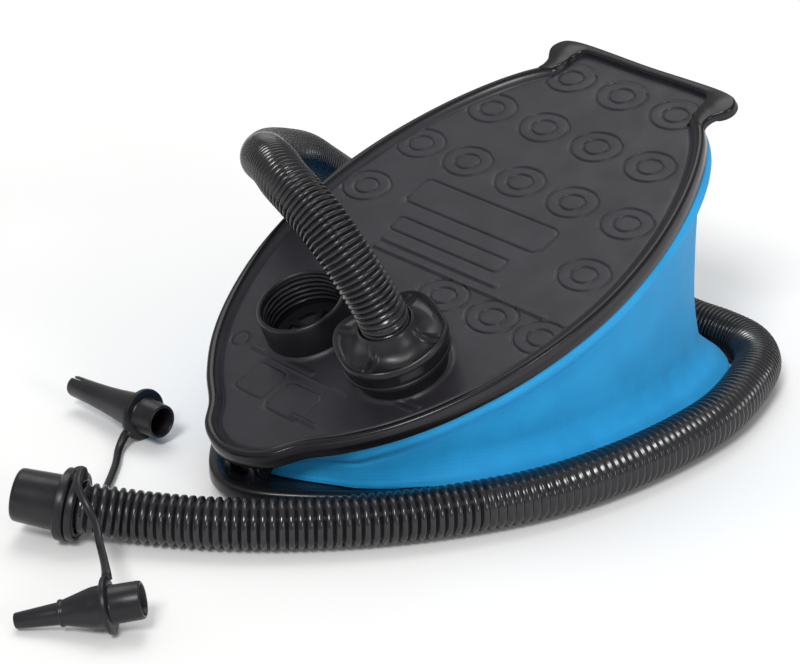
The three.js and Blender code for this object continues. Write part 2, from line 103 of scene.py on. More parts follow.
SLOTTED_STRAP = [
    (-0.1874, 0.0276, 0.0046), (-0.18, 0.0325, 0.0024), (-0.1633, 0.046, 0.0021),
    (-0.146, 0.0615, 0.0021), (-0.134, 0.074, 0.0025), (-0.1282, 0.0772, 0.0052),
]
STEPPED_STRAP = [
    (-0.1968, 0.0178, 0.033), (-0.2038, 0.0106, 0.0322), (-0.2056, 0.0045, 0.0283),
    (-0.2062, -0.001, 0.024), (-0.208, -0.0075, 0.0205), (-0.213, -0.016, 0.0184),
    (-0.224, -0.034, 0.02), (-0.2306, -0.044, 0.0208),
]


# ---- camera ----
CAMERA = {
    "place": (-0.8820, -0.9387, 0.6312), "right": (0.7401, -0.6724, 0),
    "back": (-0.6118, -0.6734, 0.4151), "lens": 138.76, "sensor": 36,
}


def add_object(name, data):
    made = bpy.data.objects.new(name, data)
    bpy.context.scene.collection.objects.link(made)
    return made


def make_camera():
    camera = add_object("camera", bpy.data.cameras.new("camera"))
    right, back = (Vector(CAMERA[key]).normalized() for key in ("right", "back"))
    turn = Matrix((right, back.cross(right), back)).transposed()
    camera.matrix_world = Matrix.Translation(CAMERA["place"]) @ turn.to_4x4()
    camera.data.sensor_width = CAMERA["sensor"]
    camera.data.lens = CAMERA["lens"]
    camera.data.clip_start = 0.05
    bpy.context.scene.camera = camera


# ---- curves and outlines ----
def catmull_rom(points, steps, loop=False):
    """Centripetal Catmull-Rom curve through the points, with that many steps to a span."""
    at = [np.array(p, float) for p in points]
    ends = [at[-1], at[0], at[1]] if loop else [2 * at[0] - at[1], 2 * at[-1] - at[-2]]
    at = [ends[0], *at, *ends[1:]]
    share = np.linspace(0, 1, steps, endpoint=False)[:, None]
    found = []
    for a, b, c, d in zip(at, at[1:], at[2:], at[3:]):
        gaps = [np.linalg.norm(y - x) ** 0.5 for x, y in ((a, b), (b, c), (c, d))]
        leave = (b - a) / gaps[0] - (c - a) / (gaps[0] + gaps[1]) + (c - b) / gaps[1]
        reach = (c - b) / gaps[1] - (d - b) / (gaps[1] + gaps[2]) + (d - c) / gaps[2]
        leave, reach = leave * gaps[1], reach * gaps[1]
        cubic = 2 * b - 2 * c + leave + reach
        square = 3 * c - 3 * b - 2 * leave - reach
        found.append(b + share * leave + share ** 2 * square + share ** 3 * cubic)
    line = np.concatenate(found)
    return line if loop else np.vstack([line, at[-2]])


def travelled(line):
    """Distance along a line at each of its points."""
    return np.concatenate([[0], np.cumsum(np.linalg.norm(np.diff(line, axis=0), axis=1))])


def evenly(line, count, loop=False):
    """That many points spaced evenly along a line."""
    whole = np.vstack([line, line[:1]]) if loop else line
    length = travelled(whole)
    wanted = np.linspace(0, length[-1], count, endpoint=not loop)
    return np.stack([np.interp(wanted, length, column) for column in whole.T], axis=1)


def outline(half):
    """Closed outline through half of its points and their mirror image: places and inward."""
    mirrored = [(x, -y) for x, y in reversed(half[1:-1])]
    places = evenly(catmull_rom([*half, *mirrored], 24, loop=True), OUTLINE_STEPS, loop=True)
    along = np.roll(places, -1, axis=0) - np.roll(places, 1, axis=0)
    along /= np.linalg.norm(along, axis=1)[:, None]
    return places, np.stack([along[:, 1], -along[:, 0]], axis=1)


def at_height(flat, height):
    """Flat points given a height: one for all of them, or one each."""
    return np.column_stack([flat, np.broadcast_to(height, len(flat))])


def circle(count):
    """Angles spaced evenly all the way round."""
    return np.linspace(0, 2 * math.pi, count, endpoint=False)


def arc(centre, radius, angles):
    return np.array(centre) + radius * np.stack([np.cos(angles), np.sin(angles)], axis=1)


def ring_of(line, inset, height, setback=0):
    """The outline moved inward, and further in by a setback that fades away from the nose."""
    places, inward = line
    share = np.clip(1 - (places[:, 0] - places[0, 0]) / NOSE_FADE, 0, None)
    return at_height(places + inward * (inset + setback * share)[:, None], height)


def smooth(x, low, high):
    """0 up to low, 1 from high, and an S curve between them."""
    t = np.clip((np.asarray(x, float) - low) / (high - low), 0, 1)
    return t * t * (3 - 2 * t)


def on_treadle(points):
    """Places in the object's frame, in millimetres, of points given as p, q, h."""
    p, q, h = np.asarray(points, float).reshape(-1, 3).T
    c, s = math.cos(PEDAL_TILT), math.sin(PEDAL_TILT)
    return np.stack([p * c - h * s, q, p * s + h * c], axis=1) + np.array(PEDAL_ORIGIN)


def treadle_place(p, q):
    """Matrix that sets a piece turned round Z, in metres, square on the treadle at p, q."""
    at = Vector(on_treadle([(p, q, 0)])[0]) * MM
    return Matrix.Translation(at) @ Matrix.Rotation(-PEDAL_TILT, 4, "Y")


def axis_place(start, toward):
    """Matrix that lays a piece turned round Z along the line from start toward a point."""
    direction = (Vector(toward) - Vector(start)).normalized()
    turn = Vector((0, 0, 1)).rotation_difference(direction).to_matrix().to_4x4()
    return Matrix.Translation(Vector(start) * MM) @ turn


# ---- meshes ----
def grid_faces(rows, columns, join_rows=False):
    """Quads over rings of points that close on themselves, stacked in rows."""
    faces = []
    for row in range(rows if join_rows else rows - 1):
        low, high = row * columns, ((row + 1) % rows) * columns
        for i in range(columns):
            after = (i + 1) % columns
            faces.append((low + i, low + after, high + after, high + i))
    return faces


def end_faces(rows, columns):
    """One face over the first ring of points and one over the last."""
    last = (rows - 1) * columns
    return [tuple(range(columns)), tuple(last + i for i in reversed(range(columns)))]


def shifted(faces, count):
    return [tuple(count + i for i in face) for face in faces]


def new_piece(name, points, faces, sharp=40):
    """A mesh object from points in metres, with its faces turned outward."""
    mesh = bpy.data.meshes.new(name)
    mesh.from_pydata(np.asarray(points, float).tolist(), [], faces)
    work = bmesh.new()
    work.from_mesh(mesh)
    bmesh.ops.remove_doubles(work, verts=work.verts, dist=1e-7)
    bmesh.ops.recalc_face_normals(work, faces=work.faces)
    work.to_mesh(mesh)
    work.free()
    mesh.shade_smooth()
    mesh.set_sharp_from_angle(angle=math.radians(sharp))
    return add_object(name, mesh)


def finish(piece, body, material, replaced=()):
    """Gives a piece its material, the body it rides on and the CAD nodes it replaces."""
    piece.data.materials.append(material)
    if body:
        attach(piece, body)
    if replaced:
        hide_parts(*replaced)
    return piece


def blend_by(piece):
    """Bakes the piece's transform into its mesh."""
    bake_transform(piece)


def eased(profile, radius):
    """The closed profile with each corner rounded by a short curve."""
    at = [np.array(p, float) for p in profile]
    count = len(at)
    found = []
    for i, corner in enumerate(at):
        before, after = at[i - 1] - corner, at[(i + 1) % count] - corner
        reach = min(radius, 0.42 * np.linalg.norm(before), 0.42 * np.linalg.norm(after))
        start = corner + before / np.linalg.norm(before) * reach
        end = corner + after / np.linalg.norm(after) * reach
        for t in np.linspace(0, 1, 4):
            found.append((1 - t) ** 2 * start + 2 * t * (1 - t) * corner + t * t * end)
    return found


def turned(name, profile, place, segments, reshape=None, sharp=40):
    """Turns a closed profile of (radius, height) round Z; reshape(points) may alter it."""
    angles = circle(segments)
    points = np.concatenate([at_height(arc((0, 0), radius, angles), height)
                             for radius, height in profile])
    if reshape:
        points = reshape(points)
    faces = grid_faces(len(profile), segments, join_rows=True)
    piece = new_piece(name, points * MM, faces, sharp)
    piece.data.transform(place)
    return piece


def path_frames(path):
    """Two unit side vectors at each point of a path, which follow it without twisting."""
    tangents = np.gradient(path, axis=0)
    tangents /= np.linalg.norm(tangents, axis=1)[:, None]
    side = np.cross(tangents[0], (0.0, 0.0, 1.0))
    if np.linalg.norm(side) < 0.2:
        side = np.cross(tangents[0], (0.0, 1.0, 0.0))
    sides = []
    for tangent in tangents:
        side = side - tangent * (side @ tangent)
        side = side / np.linalg.norm(side)
        sides.append(side)
    sides = np.array(sides)
    return sides, np.cross(tangents, sides)


def swept(name, path, wide, tall, sides, sharp=40):
    """A tube along a path; wide and tall are its half sizes at each point of the path."""
    across, over = path_frames(path)
    angles = circle(sides)
    u, v = np.outer(wide, np.cos(angles)), np.outer(tall, np.sin(angles))
    ring = across[:, None] * u[:, :, None] + over[:, None] * v[:, :, None]
    points = (path[:, None] + ring).reshape(-1, 3)
    faces = grid_faces(len(path), sides) + end_faces(len(path), sides)
    return new_piece(name, points, faces, sharp)


# ---- materials ----
GRAIN = {"scale": 900, "deep": 0.00004}
WEAVE_SCALE = 180
FACE_BAND = (0.0010, 0.0018)  # distance from the tread's face over which its rim turns glossy and is painted darker as shade


class Nodes:
    """A material's node tree, with short calls to add nodes and join them."""

    def __init__(self, name):
        self.material = bpy.data.materials.new(name)
        self.material.use_nodes = True
        self.tree = self.material.node_tree
        self.shader = self.tree.nodes["Principled BSDF"]
        self.place = self.add("ShaderNodeTexCoord").outputs["Object"]

    def add(self, kind, **settings):
        node = self.tree.nodes.new(kind)
        for key, value in settings.items():
            if hasattr(node, key):
                setattr(node, key, value)
            else:
                node.inputs[key.replace("_", " ")].default_value = value
        return node

    def join(self, output, socket):
        self.tree.links.new(output, socket)

    def shade(self, **inputs):
        """Sets the shader's inputs, each to a plain value or to a node's output."""
        for key, value in inputs.items():
            socket = self.shader.inputs[key.replace("_", " ")]
            if isinstance(value, bpy.types.NodeSocket):
                self.join(value, socket)
            else:
                socket.default_value = value

    def noise(self, scale, detail=2.0, roughness=0.5):
        node = self.add("ShaderNodeTexNoise", Scale=scale, Detail=detail, Roughness=roughness)
        self.join(self.place, node.inputs["Vector"])
        return node.outputs["Fac"]

    def spread(self, value, low, high, from_low=0.3, from_high=0.7):
        node = self.add("ShaderNodeMapRange", From_Min=from_low, From_Max=from_high, To_Min=low,
                        To_Max=high)
        self.join(value, node.inputs["Value"])
        return node.outputs["Result"]

    def mix(self, factor, first, second):
        node = self.add("ShaderNodeMix", data_type="RGBA")
        for socket, value in ((node.inputs[6], first), (node.inputs[7], second)):
            if isinstance(value, tuple):
                socket.default_value = (*value, 1)
            else:
                self.join(value, socket)
        self.join(factor, node.inputs[0])
        return node.outputs[2]

    def bump(self, height, distance, strength=1.0, after=None):
        node = self.add("ShaderNodeBump", Strength=strength, Distance=distance)
        self.join(height, node.inputs["Height"])
        if after:
            self.join(after, node.inputs["Normal"])
        return node.outputs["Normal"]


def rim_gloss_and_painted_shade(made):
    """0 on the tread's matt face, 1 on the polished rim above it and the wall below it: painted
    shade.
    """
    normal = Vector((-math.sin(PEDAL_TILT), 0, math.cos(PEDAL_TILT)))
    height = made.add("ShaderNodeVectorMath", operation="DOT_PRODUCT")
    made.join(made.place, height.inputs[0])
    height.inputs[1].default_value = normal
    above = made.add("ShaderNodeMath", operation="SUBTRACT")
    made.join(height.outputs["Value"], above.inputs[0])
    above.inputs[1].default_value = normal.dot(PEDAL_ORIGIN) * MM + 0.0001
    away = made.add("ShaderNodeMath", operation="ABSOLUTE")
    made.join(above.outputs[0], away.inputs[0])
    return made.spread(away.outputs[0], 0, 1, *FACE_BAND)


def moulded(name, dark, light, roughness, shine=0.5, rim=None):
    """Moulded plastic: cloudy tone, uneven gloss, a fine grain. rim is (painted shade, roughness).
    """
    made = Nodes(name)
    cloud = made.spread(made.noise(38, 4.0, 0.6), 0, 1)
    tone = made.mix(cloud, dark, light)
    gloss = made.spread(made.noise(85, 3.0), roughness - 0.07, roughness + 0.07)
    if rim:
        # Off the tread's face the colour is darkened as painted shade, and the roughness lowered for
        # real gloss.
        share = rim_gloss_and_painted_shade(made)
        tone = made.mix(share, tone, rim[0])
        blended = made.add("ShaderNodeMix", data_type="FLOAT")
        made.join(share, blended.inputs[0])
        made.join(gloss, blended.inputs[2])
        blended.inputs[3].default_value = rim[1]
        gloss = blended.outputs[0]
    fine = made.bump(made.noise(GRAIN["scale"]), GRAIN["deep"], 0.5)
    uneven = made.bump(made.noise(60), 0.00025, 0.25, fine)
    made.shade(Base_Color=tone, Roughness=gloss, Normal=uneven, Specular_IOR_Level=shine)
    return made.material


def woven(name, dark, light):
    """Coated woven fabric: a plain weave in the sleeve's own length and height."""
    made = Nodes(name)
    cloth = made.add("ShaderNodeTexCoord").outputs["UV"]
    checker = made.add("ShaderNodeMath", operation="MULTIPLY")
    for direction, socket in zip("XY", checker.inputs):
        wave = made.add("ShaderNodeTexWave", bands_direction=direction, Scale=WEAVE_SCALE)
        made.join(cloth, wave.inputs["Vector"])
        made.join(wave.outputs["Fac"], socket)
    cloud = made.spread(made.noise(30, 4.0, 0.6), 0, 1)
    tone = made.mix(cloud, dark, light)
    thread_tone = made.mix(made.spread(checker.outputs[0], 0, 0.16, 0, 1), tone, light)
    gloss = made.spread(made.noise(120), 0.55, 0.7)
    weave = made.bump(checker.outputs[0], 0.00010, 0.5)
    fine = made.bump(made.noise(GRAIN["scale"]), 0.00006, 0.4, weave)
    made.shade(Base_Color=thread_tone, Roughness=gloss, Normal=fine, Sheen_Weight=0.05,
               Sheen_Roughness=0.5, Specular_IOR_Level=0.2)
    return made.material


def drawn_steel(name):
    made = Nodes(name)
    tone = made.spread(made.noise(400, 3.0), 0, 1)
    made.shade(Base_Color=made.mix(tone, (0.42, 0.43, 0.45), (0.6, 0.61, 0.63)), Metallic=1,
               Roughness=made.spread(made.noise(700), 0.25, 0.42),
               Normal=made.bump(made.noise(1500), 0.00003, 0.4))
    return made.material


# Off the tread's face (rim, outer wall, heel ridge) the colour is a darker painted shade, and
# glossier.
TREADLE_BLACK = moulded("treadle_plastic", (0.018, 0.0165, 0.0215), (0.027, 0.025, 0.032), 0.4,
                        0.32, rim=((0.007, 0.007, 0.0085), 0.22))
BASE_BLACK = moulded("base_plastic", (0.006, 0.006, 0.008), (0.01, 0.01, 0.012), 0.28, 0.34)
FITTING_BLACK = moulded("fitting_plastic", (0.008, 0.0078, 0.01), (0.014, 0.0135, 0.017), 0.34, 0.36)
HOSE_BLACK = moulded("hose_plastic", (0.008, 0.008, 0.01), (0.013, 0.013, 0.016), 0.22, 0.6)
VALVE_PALE = moulded("valve_plastic", (0.6, 0.6, 0.58), (0.7, 0.7, 0.68), 0.5)
RUBBER = moulded("black_rubber", (0.01, 0.01, 0.011), (0.016, 0.016, 0.017), 0.75)
FABRIC = woven("bellows_fabric", (0.016, 0.305, 0.65), (0.025, 0.385, 0.79))
STEEL = drawn_steel("spring_steel")


def fitting(piece, *replaced, body="base"):
    return finish(piece, body, FITTING_BLACK, replaced)


# ---- the hose ----
def hose_route():
    start = [tuple(p * MM) for p in on_treadle([(*OUTLET, h) for h in HOSE_START_H])]
    end = [tuple(CONNECTOR_MOUTH + CONNECTOR_AXIS * depth) for depth in CONNECTOR_SOCKET]
    return catmull_rom([*start, *HOSE_ROUTE, *end], 40)


def length_of(line):
    return float(np.linalg.norm(np.diff(line, axis=0), axis=1).sum())


def rib_path(line):
    """Points along the hose, RIB_STEPS to a rib, with each one's distance and rib count."""
    distance = np.linspace(0, length_of(line), 8001)
    dense = evenly(line, len(distance))
    pitch = RIB_PITCH[0] + (RIB_PITCH[1] - RIB_PITCH[0]) * smooth(distance, *RIB_CHANGE)
    count = np.concatenate([[0], np.cumsum(np.diff(distance) / pitch[1:])])
    wanted = np.linspace(0, count[-1], int(count[-1]) * RIB_STEPS + 1)
    along = np.interp(wanted, count, distance)
    path = np.stack([np.interp(along, distance, column) for column in dense.T], axis=1)
    return path, along, wanted


def make_hose():
    """One ribbed hose: rounded ridges with narrow valleys between them."""
    line = hose_route()
    length = length_of(line)
    path, along, count = rib_path(line)
    depth = RIB_VALLEY[0] + (RIB_VALLEY[1] - RIB_VALLEY[0]) * smooth(along, *RIB_CHANGE)
    depth = depth * smooth(along, 0.003, 0.009) * (1 - smooth(along, length - 0.006, length))
    narrow = 1.7 + 1.5 * smooth(along, *RIB_CHANGE)
    valley = (0.5 + 0.5 * np.cos(2 * math.pi * count)) ** narrow
    radius = HOSE_DIAMETER / 2 - depth * valley
    hose = swept("hose", path, radius, radius, HOSE_SIDES, sharp=80)
    finish(hose, None, HOSE_BLACK, ("hose_upper", "hose_lower"))
    return hose, path, length


def bend_hose(hose):
    """Bakes the hose's transform into its mesh."""
    blend_by(hose)


# ---- the treadle ----
TREADLE_LINE = outline(PEDAL_HALF)
BASE_LINE = outline(BASE_HALF)
RIM_PROFILE = [
    (9, -2.5), (4.2, -2.5), (3.5, -3.2), (3.2, -5.6), (2.8, -6), (1.0, -6), (0.35, -5.7), (0, -5),
    (0, -1.2), (0, 0.9), (0.2, 1.8), (0.7, 2.5), (1.5, 2.8), (2.6, 2.7), (3.9, 2.1), (5.0, 1.2),
    (5.7, 0.3), (6.1, -0.5), (6.6, -0.8), (7.1, -0.5), (7.6, -0.05), (8.2, 0),
]
HEEL_RIDGE = [
    (259.2, 0), (259.2, 36), (258.4, 40), (254.5, 42.2), (249, 42.6), (244.5, 44.8), (240.6, 48.4),
    (239.3, 51.2), (240.4, 53.6), (243.6, 53), (247.3, 53.6), (250.4, 55.8), (253.2, 57.7),
    (256.8, 58.4), (261.6, 55.8), (263.9, 50), (264, 0),
]
EMBLEM_ROWS = {
    243: (34.5, 1, -33.6),
    209: (55.9, 20.9, -13.4, -47.5),
    174: (71.2, 38.9, 3.7, -30.2, -64.6),
    139: (74.1, -70),
    99: (-18.5, -50, -80),
}
EMBLEMS = [(p, q) for p, row in EMBLEM_ROWS.items() for q in row]
EMBLEM = {"long": 13.6, "short": 9.9, "turn": math.radians(5.5)}
EMBLEM_RINGS = (1.0, 0.5)
GROOVE = {"half": 0.38, "depth": 0.5}
RIB_TALL = 0.6
PORT_FOOT = {"tall": 1.6, "reach": 3.2}
HOLE_STEPS = 96
FILLER = 3.2  # spacing of the tread's points away from its relief


def emblem_share(p, q, centre):
    """How far out p, q lies in an emblem's oval, from 0 at its middle to 1 on its outline."""
    c, s = math.cos(EMBLEM["turn"]), math.sin(EMBLEM["turn"])
    u = (q - centre[1]) * c - (p - centre[0]) * s
    v = (p - centre[0]) * c + (q - centre[1]) * s
    return np.hypot(u / EMBLEM["long"], v / EMBLEM["short"])


def oval_rings(centre, half_long, half_short, offsets, steps, turn=0.0):
    """Rings of points round an oval, moved outward by each offset."""
    angles = circle(steps)
    c, s = math.cos(turn), math.sin(turn)
    rings = []
    for offset in offsets:
        u, v = (half_long + offset) * np.cos(angles), (half_short + offset) * np.sin(angles)
        rings.append(np.stack([centre[0] + v * c - u * s, centre[1] + u * c + v * s], axis=1))
    return np.concatenate(rings)


def slab_distance(p, q, slab):
    """Distance outside a rounded rectangle, negative inside."""
    (p0, q0), half_p, half_q, corner = slab
    dp = np.abs(p - p0) - half_p + corner
    dq = np.abs(q - q0) - half_q + corner
    outside = np.hypot(np.maximum(dp, 0), np.maximum(dq, 0))
    return outside + np.minimum(np.maximum(dp, dq), 0) - corner


def slab_rings(slab, offsets):
    """Rings round a rounded rectangle, with their points about a millimetre apart."""
    (p0, q0), half_p, half_q, corner = slab
    rings = []
    for offset in offsets:
        radius = max(corner + offset, 0.05)
        turns = np.linspace(0, math.pi / 2, 5)
        corners = []
        for k, (sp, sq) in enumerate(((1, 1), (-1, 1), (-1, -1), (1, -1))):
            middle = (p0 + sp * (half_p - corner), q0 + sq * (half_q - corner))
            corners.append(arc(middle, radius, turns + k * math.pi / 2))
        ring = np.concatenate(corners)
        length = np.linalg.norm(np.roll(ring, -1, 0) - ring, axis=1).sum()
        rings.append(evenly(ring, max(24, int(length / 1.1)), loop=True))
    return np.concatenate(rings)


# Plain outlined frames and low ribs: centre (p, q), half sizes along p and q, corner radius.
FRAMES = [
    ((148, 4.5), 8.5, 44, 4),
    ((126, 5), 4.5, 36, 3),
    ((18.5, 20.5), 9, 9.5, 2.5),
    ((16, -4.5), 9, 11.5, 4.5),
    ((33.4, 50.8), 4.2, 4.2, 4.1),
]
RIBS = [
    ((115, 0), 1.2, 38, 1.1),
    ((109.5, -18), 1.2, 56, 1.1),
    ((32.5, 20.5), 1.4, 21, 1.3),
    ((30, 2), 0.6, 27, 0.55),
    ((41.5, -47), 1.1, 15, 1.0),
    ((37.5, -45), 1.1, 15, 1.0),
    ((9.5, -18), 1.0, 9, 0.9),
    ((65.5, 62.5), 4.5, 1.2, 1.1),
]


def outlined(away):
    """A narrow groove, at a distance from its middle line."""
    return -GROOVE["depth"] * np.exp(-(away / GROOVE["half"]) ** 4)


def stronger(first, second):
    return np.where(np.abs(second) > np.abs(first), second, first)


def relief(p, q):
    """Height of the tread's relief at p, q: ovals, frames, ribs and the ports' feet."""
    height = np.zeros_like(p)
    for centre in EMBLEMS:
        share = emblem_share(p, q, centre)
        for scale in EMBLEM_RINGS:
            height = stronger(height, outlined((share / scale - 1) * EMBLEM["short"] * scale))
    for slab in FRAMES:
        height = stronger(height, outlined(slab_distance(p, q, slab)))
    for slab in RIBS:
        away = slab_distance(p, q, slab)
        height = stronger(height, RIB_TALL * (1 - smooth(away, -0.4, 0.5)))
    for centre in PORTS:
        away = np.hypot(p - centre[0], q - centre[1]) - PORT_RADIUS
        foot = 1 - smooth(away, -0.5, PORT_FOOT["reach"])
        height = height * (1 - foot) + PORT_FOOT["tall"] * foot ** 2
    return height


def feature_points():
    """Points along the relief's own edges, so that its lines come out clean."""
    offsets = (-1.3, -0.62, -0.3, 0, 0.3, 0.62, 1.3)
    found = []
    for centre in EMBLEMS:
        for scale in EMBLEM_RINGS:
            steps = max(20, int(92 * scale))
            long, short = EMBLEM["long"] * scale, EMBLEM["short"] * scale
            found.append(oval_rings(centre, long, short, offsets, steps, EMBLEM["turn"]))
    for slab in FRAMES:
        found.append(slab_rings(slab, offsets))
    for slab in RIBS:
        found.append(slab_rings(slab, (-0.4, 0, 0.5, 1.2)))
    for centre in PORTS:
        rings = [PORT_RADIUS + x for x in (0.3, 0.9, 1.6, 2.4, 3.2, 4.5)]
        found += [oval_rings(centre, r, r, (0,), HOLE_STEPS) for r in rings]
    return np.concatenate(found)


def inside(points, ring):
    """Which points lie inside a closed ring."""
    x, y = points.T
    hit = np.zeros(len(points), bool)
    for (x0, y0), (x1, y1) in zip(ring, np.roll(ring, -1, axis=0)):
        if y0 == y1:
            continue
        crosses = (y0 > y) != (y1 > y)
        hit ^= crosses & (x < (x1 - x0) * (y - y0) / (y1 - y0) + x0)
    return hit


def thinned(points, gap):
    """The points without those that crowd a point kept before them."""
    kept, cells = [], set()
    for x, y in points:
        cell = (round(x / gap), round(y / gap))
        if not any((cell[0] + i, cell[1] + j) in cells for i in (-1, 0, 1) for j in (-1, 0, 1)):
            cells.add(cell)
            kept.append((x, y))
    return np.array(kept)


def filled(ring, holes=(), loose=np.zeros((0, 2))):
    """Triangles between a ring and its holes, through the loose points."""
    loops = [ring, *holes]
    verts = [Vector(v) for v in np.concatenate([*loops, loose])]
    edges, first = [], 0
    for loop in loops:
        count = len(loop)
        edges += [(first + i, first + (i + 1) % count) for i in range(count)]
        first += count
    points, _, faces, *_ = geometry.delaunay_2d_cdt(verts, edges, [], 0, 1e-5)
    points = np.array(points)
    middles = np.array([points[list(f)].mean(axis=0) for f in faces])
    keep = inside(middles, ring)
    for hole in holes:
        keep &= ~inside(middles, hole)
    return points, [tuple(f) for f, good in zip(faces, keep) if good]


def tread_points(ring):
    """The relief's points and an even filling between them, inside the ring."""
    low, high = ring.min(axis=0), ring.max(axis=0)
    p, q = np.meshgrid(*(np.arange(low[i], high[i], FILLER) for i in (0, 1)))
    features = thinned(feature_points(), 0.12)
    filler = np.stack([p.ravel(), q.ravel()], axis=1)
    cell = FILLER / 2
    cells = {(round(x / cell), round(y / cell)) for x, y in features}
    free = [(round(x / cell), round(y / cell)) not in cells for x, y in filler]
    loose = np.concatenate([features, filler[np.array(free)]])
    near = ring + (ring.mean(axis=0) - ring) * 0.004
    loose = loose[inside(loose, near)]
    for centre in PORTS:
        away = np.hypot(*(loose - np.array(centre)).T)
        loose = loose[away > PORT_RADIUS - 0.1]
    return loose


def rim_points():
    """The rim's rings: behind the heel's emblems they run flat out to the bar's ridge."""
    rings = []
    for inset, height in RIM_PROFILE:
        ring = ring_of(TREADLE_LINE, inset, height)
        flat = (ring[:, 0] > 200) * (1 - smooth(np.abs(ring[:, 1]), 41.5, 43.5))
        ring[:, 0] += (HEEL_RIDGE[0][0] + 1 - 0.02 * inset - ring[:, 0]) * flat
        if height > -1:
            ring[:, 2] *= 1 - flat
        rings.append(ring)
    rings[-1][:, 2] = relief(*rings[-1][:, :2].T)
    return rings


def closed_over(rings, sheets):
    """Points and faces over rings of points, closed by sheets of (points, triangles, height)."""
    points, faces = [np.concatenate(rings)], grid_faces(len(rings), len(rings[0]))
    count = len(points[0])
    for flat, tris, height in sheets:
        points.append(at_height(flat, height))
        faces += shifted(tris, count)
        count += len(flat)
    return points, faces, count


def make_treadle():
    rings, radius = rim_points(), PORT_RADIUS - 0.6
    holes = [oval_rings(c, radius, radius, (0,), HOLE_STEPS) for c in PORTS]
    inner = rings[-1][:, :2]
    top, tris = filled(inner, holes, tread_points(inner))
    under = (*filled(rings[0][:, :2], holes), -PANEL_THICK)
    points, faces, count = closed_over(rings, [(top, tris, relief(*top.T)), under])
    for hole in holes:
        points += [at_height(hole, relief(*hole.T)), at_height(hole, -PANEL_THICK)]
        faces += shifted(grid_faces(2, len(hole)), count)
        count += 2 * len(hole)
    whole = on_treadle(np.concatenate(points)) * MM
    treadle = new_piece("treadle_top", whole, faces, sharp=50)
    finish(treadle, "pedal", TREADLE_BLACK, ("treadle",))


def stadium(inset, height):
    """Ring round the heel bar's outline: two straight runs and two round ends."""
    radius = HEEL_BAR["width"] / 2 - inset
    straight = HEEL_BAR["reach"] - HEEL_BAR["width"] / 2
    turns = np.linspace(0, math.pi, 24)
    ends = [arc((HEEL_BAR["middle"], middle), radius, turns + start)
            for start, middle in ((0, straight), (math.pi, -straight))]
    return at_height(np.concatenate(ends), height)


def stacked(name, rings):
    """A closed piece over rings of points, with a flat face on each end."""
    ends = [(*filled(ring[:, :2]), ring[0, 2]) for ring in (rings[0], rings[-1])]
    points, faces, _ = closed_over(rings, ends)
    return new_piece(name, on_treadle(np.concatenate(points)) * MM, faces, sharp=50)


def make_heel_bar():
    """The bar's flat body, and the ridge round its outer edge and ends."""
    body = [(0.8, -2.4), (0.2, -2.1), (0, -1.6), (0, -0.8), (0.6, -0.06)]
    bar = stacked("heel_bar", [stadium(inset, height) for inset, height in body])
    line = outline(HEEL_RIDGE)
    profile = [(0, -0.9), (0, 1.3), (0.2, 2.1), (0.6, 2.7), (0.9, 2.9), (1.05, 2.95)]
    ridge = stacked("heel_ridge", [ring_of(line, inset, height) for inset, height in profile])
    for piece in (bar, ridge):
        finish(piece, "pedal", TREADLE_BLACK)


# ---- ports and the hose nut ----
THREAD = {"pitch": 2.6, "depth": 0.75, "half": 0.2}
NUT_LOBE = {"share": 0.10, "lift": 2.4, "turn": math.radians(20)}
NUT_RIB = {"apart": 1.3, "half": 0.6, "tall": 1.9}


def port_profile():
    outer = [(24.8, -4.7), (24.8, -3.0), (21, -2.9), (21, 15.6), (20.6, 16.6), (19.9, 17.05),
             (19.3, 16.9), (18.9, 16.2)]
    bore = [(PORT_BORE, h) for h in np.arange(15.6, -3.0, -0.3)]
    return outer + bore + [(PORT_BORE, -3.5), (16, -3.6), (16, -4.7)]


def threads(points):
    """Cuts a helical thread into the part of a port that lies inside its bore."""
    x, y, z = points.T
    radius, angle = np.hypot(x, y), np.arctan2(y, x)
    inner = (np.abs(radius - PORT_BORE) < 0.02) & (z > 0)
    turn = (z / THREAD["pitch"] - angle / (2 * math.pi)) % 1
    ridge = np.exp(-((turn - 0.5) / THREAD["half"]) ** 2)
    ridge = ridge * smooth(z, 0.2, 1.6) * (1 - smooth(z, 14, 15.4))
    cut = np.where(inner, (radius - THREAD["depth"] * ridge) / radius, 1)
    return np.stack([x * cut, y * cut, z], axis=1)


def make_port(label, centre):
    port = turned(f"{label}_port", port_profile(), treadle_place(*centre), HOLE_STEPS,
                  reshape=threads, sharp=60)
    fitting(port, f"{label}_socket", body="pedal")


def nut_shape(points):
    """Draws the nut's shoulder into four lobes, with a wavy edge and a double rib to each."""
    x, y, z = points.T
    radius, angle = np.hypot(x, y), np.arctan2(y, x) - NUT_LOBE["turn"]
    wave = 0.5 * (1 + np.cos(4 * angle))
    high = smooth(z, 15.2, 18.2) * smooth(radius, 15, 23)
    grow = 1 + high * (NUT_LOBE["share"] * wave - 0.03)
    lift = NUT_LOBE["lift"] * high * (wave - 0.55)
    shoulder = smooth(radius, 13.2, 15) * (1 - smooth(radius, 22.2, 23.6)) * (z > 19)
    across = (((angle + math.pi / 4) % (math.pi / 2)) - math.pi / 4) * radius
    rib = np.exp(-((np.abs(across) - NUT_RIB["apart"]) / NUT_RIB["half"]) ** 2)
    height = z + lift + NUT_RIB["tall"] * rib * shoulder
    return np.stack([x * grow, y * grow, height], axis=1)


